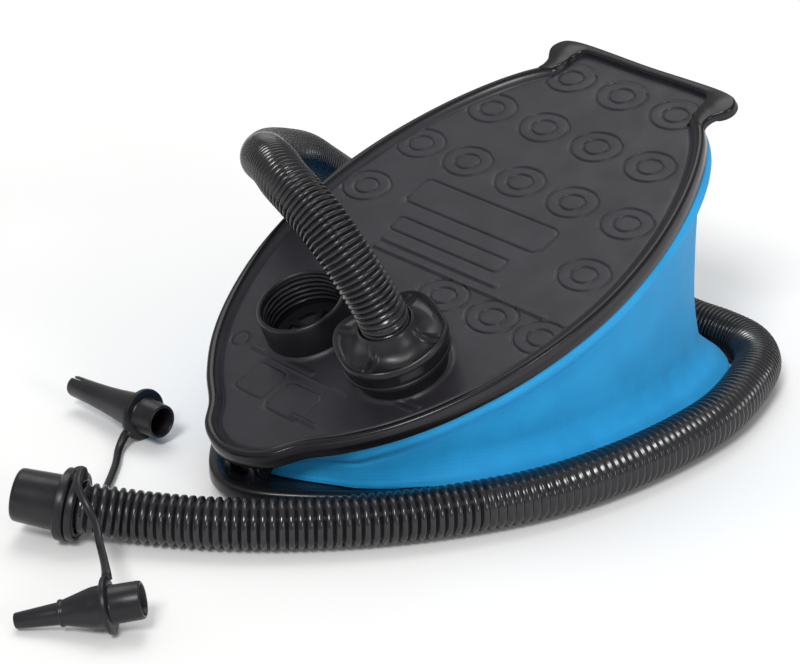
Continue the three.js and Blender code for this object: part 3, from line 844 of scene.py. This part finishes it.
def make_nut():
    cone = [(23.9, 20.7), (23.2, 20), (22.4, 19.6), (21, 19.5), (19, 19.9), (17, 21), (15.2, 22.9),
            (14, 25.4), (13.4, 26.8), (13, 27.9), (12.6, 28.3), (12.1, 28.3), (11.7, 27.8)]
    outside = [(22.8, 9.2), (23.2, 9), (24.2, 9), (24.6, 9.4), (24.6, 10.7), (24.2, 11.1),
               (24.2, 12.6), (24.35, 12.8), (24.35, 16.4), (24.5, 17), (25, 17.5), (25.5, 18.1),
               (25.6, 18.9), (25.5, 20), (25.1, 20.8), (24.5, 21.1)]
    inner = [(11.7, 21), (15.4, 21), (15.4, 6), (17.7, 6), (17.7, 18.8), (22.8, 18.8)]
    nut = turned("nut_cap", outside + cone + inner, treadle_place(*OUTLET), 180, nut_shape, 38)
    fitting(nut, "hose_nut", body="hose_nut")


# ---- the base ----
def make_base():
    shell = [(8.5, 0), (7.3, 0.3), (7, 1), (6.6, 4.6), (6.2, 5.2), (1.4, 5.5), (0.5, 5.7), (0, 6.5),
             (0, 10.2), (0.3, 11.2), (1, 11.9), (2.2, 12.3), (3.4, 12.4), (4.6, 12.3), (5.6, 11.9),
             (6.3, 11.4), (6.8, 11.1)]
    well = [(8, 11), (9.4, 11), (9.9, 10.2), (10.2, 5), (11, 4)]
    rings = [ring_of(BASE_LINE, inset, height) for inset, height in shell]
    rings += [ring_of(BASE_LINE, inset, height, NOSE_SETBACK) for inset, height in well]
    faces = grid_faces(len(rings), OUTLINE_STEPS) + end_faces(len(rings), OUTLINE_STEPS)
    base = new_piece("base_shell", np.concatenate(rings) * MM, faces, sharp=45)
    finish(base, "base", BASE_BLACK, ("base_tray",))


# ---- the nose hinge ----
HINGE = (-14, 0, -12)
CHEEK_RADIUS = 5
CHEEK_STEPS = 48
PIN_BORE = 2.7


def cheek(name, low, high, reach, turn):
    """A plate with a round eye and a leg, in millimetres round its eye, laid across Y."""
    eye = arc((0, 0), CHEEK_RADIUS, np.linspace(0, math.pi, 20))
    leg = [(-CHEEK_RADIUS, -reach), (CHEEK_RADIUS, -reach)]
    ring = evenly(np.vstack([eye, leg]), CHEEK_STEPS, loop=True)
    bore = arc((0, 0), PIN_BORE, np.arctan2(ring[:, 1], ring[:, 0]))
    c, s = math.cos(turn), math.sin(turn)
    rings = []
    for flat, y in ((bore, low), (ring * 0.97, low), (ring, low + 0.3), (ring, high - 0.3),
                    (ring * 0.97, high), (bore, high)):
        rings.append(np.stack([flat[:, 0] * c - flat[:, 1] * s, np.full(CHEEK_STEPS, y),
                               flat[:, 0] * s + flat[:, 1] * c], axis=1))
    points = np.concatenate(rings) + on_treadle([HINGE])
    faces = grid_faces(len(rings), CHEEK_STEPS, join_rows=True)
    return new_piece(name, points * MM, faces)


def make_hinge():
    for name, low, high in (("hinge_ear_left", 6.2, 10), ("hinge_ear_right", -10, -6.2)):
        finish(cheek(name, low, high, 8.4, 0), "base", BASE_BLACK)
    # The lug takes the base's darker black as painted shade, for the shaded gap under the treadle's
    # nose.
    lug = cheek("hinge_lug", -5.5, 5.5, 11, math.pi - PEDAL_TILT)
    finish(lug, "pedal", BASE_BLACK)


# ---- the return spring ----
SPRING = {"radius": 25, "wire": 1.55, "turns": 7, "foot": (40, 0, 8.1), "head": (150, 0, -6.6)}
SPRING_STEPS = 30  # to a turn
WIRE_SIDES = 12


def make_spring():
    """A coil whose axis leaves the lower seat straight up and meets the upper seat square on."""
    foot, head = np.array(SPRING["foot"], float), on_treadle([SPRING["head"]])[0]
    rise = np.linalg.norm(head - foot) / 3
    normal = np.array([-math.sin(PEDAL_TILT), 0, math.cos(PEDAL_TILT)])
    corners = [foot, foot + (0, 0, rise), head - normal * rise, head]
    share = np.linspace(0, 1, SPRING["turns"] * SPRING_STEPS + 1)[:, None]
    left = 1 - share
    weights = [left ** 3, 3 * share * left ** 2, 3 * share ** 2 * left, share ** 3]
    axis = sum(w * corner for w, corner in zip(weights, corners))
    ahead = np.gradient(axis, axis=0)
    ahead /= np.linalg.norm(ahead, axis=1)[:, None]
    side = np.column_stack([ahead[:, 2], np.zeros(len(axis)), -ahead[:, 0]])
    angle = 2 * math.pi * SPRING["turns"] * share
    path = axis + SPRING["radius"] * (side * np.cos(angle) + np.array([0, 1, 0]) * np.sin(angle))
    wire = np.full(len(path), SPRING["wire"] * MM)
    spring = swept("spring_coil", path * MM, wire, wire, WIRE_SIDES)
    finish(spring, None, STEEL, ("return_spring",))
    blend_by(spring)


# ---- the bellows ----
# Share of the way up, and millimetres outward on the sleeve's tallest side.
BELLOWS_SHAPE = [
    (0, 0), (0.06, -0.5), (0.16, -3), (0.34, -4.5), (0.56, -3), (0.78, -0.6), (0.9, 0.8), (1, 1.4),
]
BELLOWS_LEVELS = 110
BELLOWS_WALL = 1.2
FOOT_INSET = 8.9
SLEEVE_RADIUS = 0.105
HEM = {"tall": 10.5, "out": 5.2, "crease": 2.2}  # rolled band under the treadle's rim
SLEEVE_TOP = (4.3, RIM_BOTTOM + 1.2)  # inset and height of its upper edge on the treadle
FLARE = {"out": 11.1, "from_z": 12.8, "tall": 17, "power": 2.1}
FLARE_GROWS = (-112, -20)  # from the nose toward the middle
# The foot's height where it lies further out, over the base's rim: inset, height.
FOOT_REST = [
    (-2.2, 8.6), (-1.2, 9.9), (-0.4, 11.1), (0.2, 11.9), (1, 12.5), (2.2, 12.8), (3.4, 12.9),
    (4.6, 12.8), (5.6, 12.4), (6.6, 11.8), (8.9, 11.5),
]


def fabric_folds(share, around, slack):
    """Soft slanting folds, and small tucks where the sleeve is drawn to its clamps."""
    slant = np.sin(around * 9 + share * 3.2) + 0.6 * np.sin(around * 21 - share * 5)
    low = np.exp(-((share - 0.12) / 0.14) ** 2) * (np.sin(around * 34) + np.sin(around * 55 + 1))
    tucks = np.exp(-((share - 0.86) / 0.05) ** 2) * np.sin(around * 70 + share * 12)
    body = np.sin(math.pi * share)
    return slack * (0.2 * slant * body + 0.2 * low * smooth(share, 0, 0.06) + 0.14 * tucks)


def foot_line():
    """The sleeve's lower edge: in the tray at the nose, over its rim from the middle on."""
    over = smooth(BASE_LINE[0][:, 0], *FLARE_GROWS)
    inset = FOOT_INSET - FLARE["out"] * over
    foot = ring_of(BASE_LINE, FOOT_INSET, 0, NOSE_SETBACK)
    foot[:, 2] = np.interp(inset, *np.array(FOOT_REST).T)
    return foot, over


def sleeve_rings(skin, levels):
    foot, over = foot_line()
    top = on_treadle(ring_of(TREADLE_LINE, *SLEEVE_TOP, NOSE_SETBACK))
    rise = top[:, 2] - foot[:, 2]
    slack = rise / rise.max()
    bulge = catmull_rom(BELLOWS_SHAPE, 20).T
    around = circle(OUTLINE_STEPS)
    rings = []
    for share in 0.5 - 0.5 * np.cos(np.linspace(0, math.pi, levels)):
        ring = foot + (top - foot) * share
        above = np.clip((ring[:, 2] - FLARE["from_z"]) / FLARE["tall"], 0, 1)
        flare = FLARE["out"] * over * (1 - above) ** FLARE["power"]
        down = (1 - share) * rise / HEM["tall"]
        roll = np.sqrt(np.clip(1 - (2 * down - 1) ** 2, 0, 1)) * HEM["out"] * slack ** 0.5
        roll = roll - HEM["crease"] * np.exp(-((down - 1.06) / 0.13) ** 2) * slack ** 0.5
        out = np.interp(share, *bulge) * slack + fabric_folds(share, around, slack) + flare + roll
        ring[:, :2] -= BASE_LINE[1] * (out + skin)[:, None]
        rings.append(ring)
    return rings


def sleeve_uv(piece):
    """UVs in metres: round the sleeve at its mean radius and up its side, for the weave."""
    layer = piece.data.uv_layers.new(name="cloth")
    for loop in piece.data.loops:
        x, y, z = piece.data.vertices[loop.vertex_index].co
        layer.data[loop.index].uv = (SLEEVE_RADIUS * math.atan2(y, x), z)


def make_bellows():
    skin = sleeve_rings(0, BELLOWS_LEVELS)
    rings = skin + sleeve_rings(-BELLOWS_WALL, 24)[::-1]
    faces = grid_faces(len(rings), OUTLINE_STEPS, join_rows=True)
    sleeve = new_piece("bellows_sleeve", np.concatenate(rings) * MM, faces, sharp=60)
    sleeve_uv(sleeve)
    finish(sleeve, None, FABRIC, ("bellows",))
    blend_by(sleeve)


# ---- connector, nozzles and tethers ----
CONNECTOR_PLACE = axis_place(CONNECTOR_MOUTH / MM, CONNECTOR_MOUTH / MM + CONNECTOR_AXIS)
TAB_DEPTH, RING_DEPTH = 0.0268, 0.0275  # along the connector's axis
SLOT = {"at": 46.3 * MM, "size": (0.0021, 0.016, 0.011)}


def make_connector():
    profile = [(9.6, 0.6), (9.9, 0.1), (10.4, 0), (11, 0.15), (11.5, 0.7), (11.75, 2), (12.3, 19.6),
               (12.5, 20.2), (13.2, 20.5), (15.3, 20.6), (15.9, 21.1), (16, 21.9), (16, 23.9),
               (15.7, 24.7), (15, 25.1), (13.9, 25.3), (13.3, 25.6), (13.3, 28.6), (12.9, 29.3),
               (12, 29.4), (11.5, 29), (11.5, 23), (9.6, 22.6)]
    return fitting(turned("connector_body", profile, CONNECTOR_PLACE, 96), "hose_connector")


def make_tether_ring():
    profile = eased([(13.5, 25.7), (15.2, 25.7), (15.2, 29.1), (13.5, 29.1)], 0.8)
    return fitting(turned("tether_band", profile, CONNECTOR_PLACE, 96), "tether_ring")


def make_tether_tab():
    """The block on top of the ring that the stepped nozzle's strap leaves."""
    middle = CONNECTOR_MOUTH + CONNECTOR_AXIS * TAB_DEPTH
    out = (Vector(STEPPED_STRAP[0]) - middle).normalized()
    path = np.array([middle + out * reach for reach in (0.014, 0.0155, 0.017, 0.0183, 0.0188)])
    wide = [0.0048, 0.0044, 0.0036, 0.0031, 0.0024]
    tall = [0.0030, 0.0029, 0.0027, 0.0025, 0.0018]
    return fitting(swept("tether_tab", path, wide, tall, 24))


NOZZLE_LIP = [(6.4, 0.6), (6.7, 0.1), (7.3, 0), (7.8, 0.4), (8, 1.5)]
NOZZLE_FLANGE = [
    (8.1, -2.4), (8.6, -1.6), (11.3, -1.3), (12, -0.9), (12.2, 0), (12, 0.9), (11.4, 1.3),
]


def nozzle_body(kind, ends, skirt, tip):
    """A nozzle: a skirt of that length, the flange at height 0, and the tip's own profile."""
    lip = [(radius, height - skirt) for radius, height in NOZZLE_LIP]
    return turned(f"{kind}_nozzle_body", lip + NOZZLE_FLANGE + tip, axis_place(*ends), 72)


def make_slotted_nozzle():
    tip = [(9.4, 1.5), (8.9, 2.2), (8.5, 5), (7.9, 10), (6.9, 17), (6.1, 25), (5.5, 34),
           (5.0, 46.8), (4.6, 48.1), (3.9, 48.3), (3.6, 47.6), (4.6, 22), (6.2, 8)]
    nozzle = nozzle_body("slotted", NOZZLE_SLOTTED, 13, tip)
    cut_slot(nozzle)
    return fitting(nozzle, "slotted_nozzle")


def cut_slot(nozzle):
    """Cuts the slot across the nozzle's tip."""
    work = bmesh.new()
    bmesh.ops.create_cube(work, size=1)
    mesh = bpy.data.meshes.new("slot")
    work.to_mesh(mesh)
    work.free()
    slot = add_object("slot", mesh)
    place = axis_place(*NOZZLE_SLOTTED) @ Matrix.Translation((0, 0, SLOT["at"]))
    slot.matrix_world = place @ Matrix.Diagonal((*SLOT["size"], 1))
    cut = nozzle.modifiers.new("slot", "BOOLEAN")
    cut.operation = "DIFFERENCE"
    cut.object = slot
    cut.solver = "EXACT"
    apply_modifiers(nozzle)
    bpy.data.objects.remove(slot)
    nozzle.data.set_sharp_from_angle(angle=math.radians(40))


def apply_modifiers(piece):
    bpy.context.view_layer.update()
    graph = bpy.context.evaluated_depsgraph_get()
    mesh = bpy.data.meshes.new_from_object(piece.evaluated_get(graph))
    piece.modifiers.clear()
    piece.data = mesh


def make_stepped_nozzle():
    tip = [(9.2, 1.5), (8.8, 2.2), (8.6, 6), (8.0, 8.6), (5.5, 18.2), (5.5, 18.9), (5.7, 19.3),
           (5.7, 20.1), (5.4, 20.5), (4.7, 20.8), (4.5, 24), (3.4, 38.6), (3.1, 39.3),
           (2.6, 39.5), (2.2, 39), (3.4, 20.5), (6.2, 7)]
    nozzle = nozzle_body("stepped", NOZZLE_STEPPED, 14.5, tip)
    return fitting(nozzle, "stepped_nozzle")


def make_strap(kind, points, start, end):
    """A flat strap that widens where it grows out of its ring and its nozzle's flange."""
    path = evenly(catmull_rom([start, *points, end], 24), 96)
    share = np.linspace(0, 1, len(path))
    flare = np.exp(-share / 0.05) + 0.5 * np.exp(-(1 - share) / 0.07)
    wide = 0.0018 + 0.0016 * flare
    tall = np.full(len(path), 0.0011) + 0.0006 * flare
    strap = swept(f"{kind}_tether", path, wide, tall, 20)
    return fitting(strap, f"{kind}_nozzle_strap")


def make_straps():
    """Both straps, each run on into the ring and the flange that it joins."""
    ring = np.array(CONNECTOR_MOUTH + CONNECTOR_AXIS * RING_DEPTH)
    jobs = (("slotted", SLOTTED_STRAP, NOZZLE_SLOTTED), ("stepped", STEPPED_STRAP, NOZZLE_STEPPED))
    made = []
    for kind, points, (flange, _) in jobs:
        flange = np.array(flange) * MM
        start = ring + (np.array(points[0]) - ring) * 0.85
        end = flange + (np.array(points[-1]) - flange) * 0.82
        made.append(make_strap(kind, points, start, end))
    return made


# ---- carried-over pieces, floor and light ----
CARRIED = {
    "base_clamp_ring": BASE_BLACK, "treadle_clamp_ring": BASE_BLACK, "hinge_pin": BASE_BLACK,
    "lower_spring_seat": VALVE_PALE, "upper_spring_seat": VALVE_PALE,
    "intake_valve_seat": FITTING_BLACK, "outlet_valve_seat": FITTING_BLACK,
    "intake_valve_flap": RUBBER, "outlet_valve_flap": RUBBER, "nut_gasket": RUBBER,
    "hose_end_ring": HOSE_BLACK,
}


def paint_carried():
    for name, material in CARRIED.items():
        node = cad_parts[name]
        node.data.materials.clear()
        node.data.materials.append(material)


def make_floor():
    made = Nodes("floor_paint")
    tone = made.spread(made.noise(3), 0, 1)
    made.shade(Base_Color=made.mix(tone, (0.93, 0.93, 0.925), (0.95, 0.95, 0.945)), Roughness=0.9)
    corners = [(-6, -6, 0), (6, -6, 0), (6, 6, 0), (-6, 6, 0)]
    floor = new_piece("floor", corners, [(0, 1, 2, 3)])
    floor.location.z = -0.0003
    floor.data.materials.append(made.material)


def add_sun(name, toward, strength, angle):
    """A soft distant light that shines from a direction; its angle sets how soft it is."""
    light = add_object(name, bpy.data.lights.new(name, "SUN"))
    light.data.energy = strength
    light.data.angle = math.radians(angle)
    light.matrix_world = Vector(toward).to_track_quat("Z", "Y").to_matrix().to_4x4()


def light_scene():
    world = bpy.data.worlds.new("studio")
    bpy.context.scene.world = world
    world.use_nodes = True
    background = world.node_tree.nodes["Background"]
    background.inputs["Color"].default_value = (1, 1, 0.995, 1)
    background.inputs["Strength"].default_value = 0.44
    add_sun("key", (-0.62, -0.35, 0.75), 1.6, 16)
    add_sun("front", (-0.05, -0.9, 0.3), 0.5, 14)
    add_sun("top", (0.3, 0.35, 0.9), 0.85, 40)
    bpy.context.scene.view_settings.view_transform = "Standard"


# ---- putting it together ----
make_camera()
hose, hose_path, hose_length = make_hose()
bend_hose(hose)
on_cord = [make_connector(), make_tether_ring(), make_slotted_nozzle(), make_stepped_nozzle()]
on_cord += [make_tether_tab(), *make_straps()]
make_treadle()
make_heel_bar()
make_port("intake", INTAKE)
make_port("outlet", OUTLET)
make_nut()
make_base()
make_hinge()
make_spring()
make_bellows()
paint_carried()
make_floor()
light_scene()
